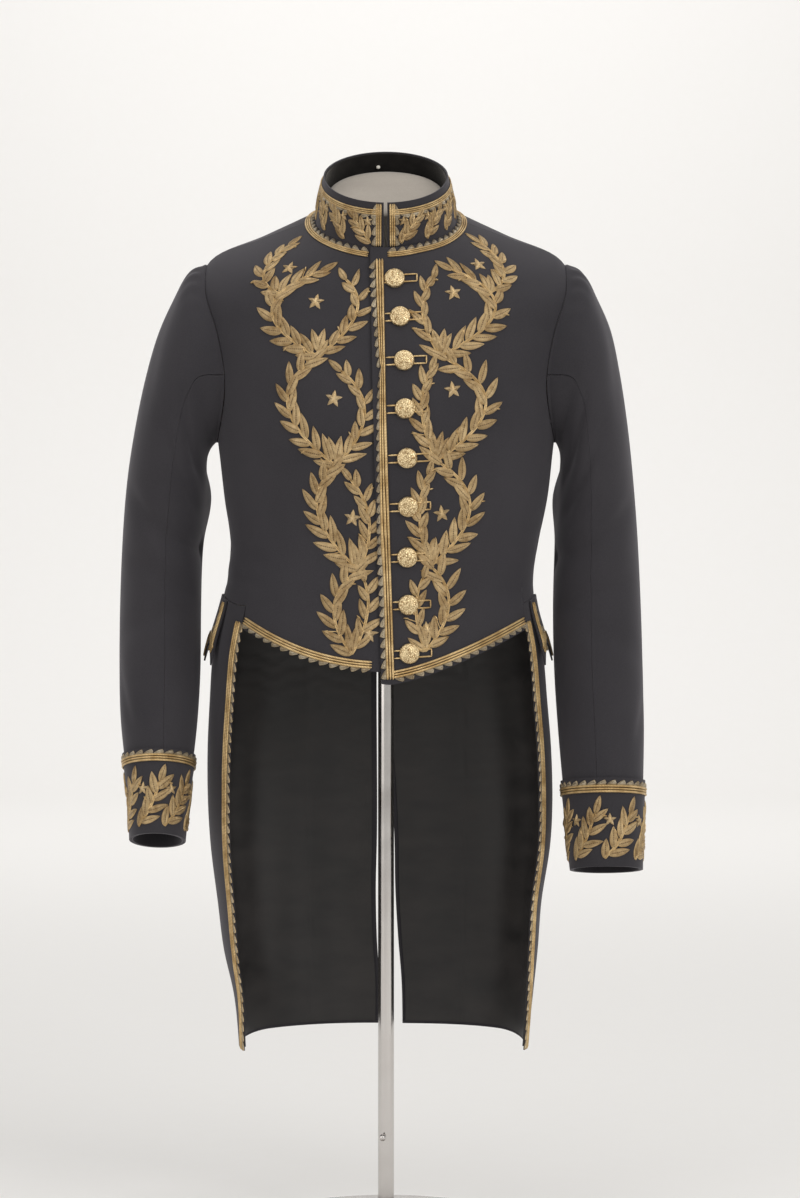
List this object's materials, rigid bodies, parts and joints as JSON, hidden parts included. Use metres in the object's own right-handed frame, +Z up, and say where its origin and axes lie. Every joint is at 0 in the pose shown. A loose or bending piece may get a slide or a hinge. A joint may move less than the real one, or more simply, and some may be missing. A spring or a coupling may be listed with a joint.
{
  "type": "ceremonial tailcoat on a limbless dress form",
  "caption": "Dark stand-collar tailcoat with gold laurel embroidery, scalloped braid and domed buttons, standing on an armless dress form with a steel pole and round base.",
  "frame": {"origin": "middle of the base's underside, on the floor", "axes": "+Z up, the coat's front faces -Y, +X is the wearer's left"},
  "size_m": [0.5949, 0.3, 1.2261],
  "materials": {
    "wool_cloth": "fine fulled wool, matt",
    "satin_lining": "black satin",
    "gold_thread": "raised gold thread and braid",
    "gilt_button": "gilt, domed, mottled relief",
    "form_cover": "grey jersey cover",
    "polished_steel": "polished"
  },
  "bodies": {
    "root": {"right_front": "wool_cloth", "left_front": "wool_cloth", "right_back": "wool_cloth", "left_back": "wool_cloth", "right_tail": "wool_cloth", "left_tail": "wool_cloth", "right_top_sleeve": "wool_cloth", "right_under_sleeve": "wool_cloth", "left_top_sleeve": "wool_cloth", "left_under_sleeve": "wool_cloth", "right_cuff": "wool_cloth", "left_cuff": "wool_cloth", "collar": "wool_cloth", "right_flap": "wool_cloth", "left_flap": "wool_cloth", "right_tail_lining": "satin_lining", "left_tail_lining": "satin_lining", "right_front_embroidery": "gold_thread", "left_front_embroidery": "gold_thread", "lap_braid": "gold_thread", "right_hem_braid": "gold_thread", "right_neck_braid": "gold_thread", "left_neck_braid": "gold_thread", "right_tail_braid": "gold_thread", "left_tail_braid": "gold_thread", "right_collar_embroidery": "gold_thread", "left_collar_embroidery": "gold_thread", "right_cuff_embroidery": "gold_thread", "left_cuff_embroidery": "gold_thread", "button_1": "gilt_button", "button_2": "gilt_button", "button_3": "gilt_button", "button_4": "gilt_button", "button_5": "gilt_button", "button_6": "gilt_button", "button_7": "gilt_button", "button_8": "gilt_button", "button_9": "gilt_button", "dress_form": "form_cover", "neck_cap": "form_cover", "stand_base": "polished_steel", "pole_socket": "polished_steel", "pole": "polished_steel", "pole_knob": "polished_steel"}
  },
  "joints": []
}
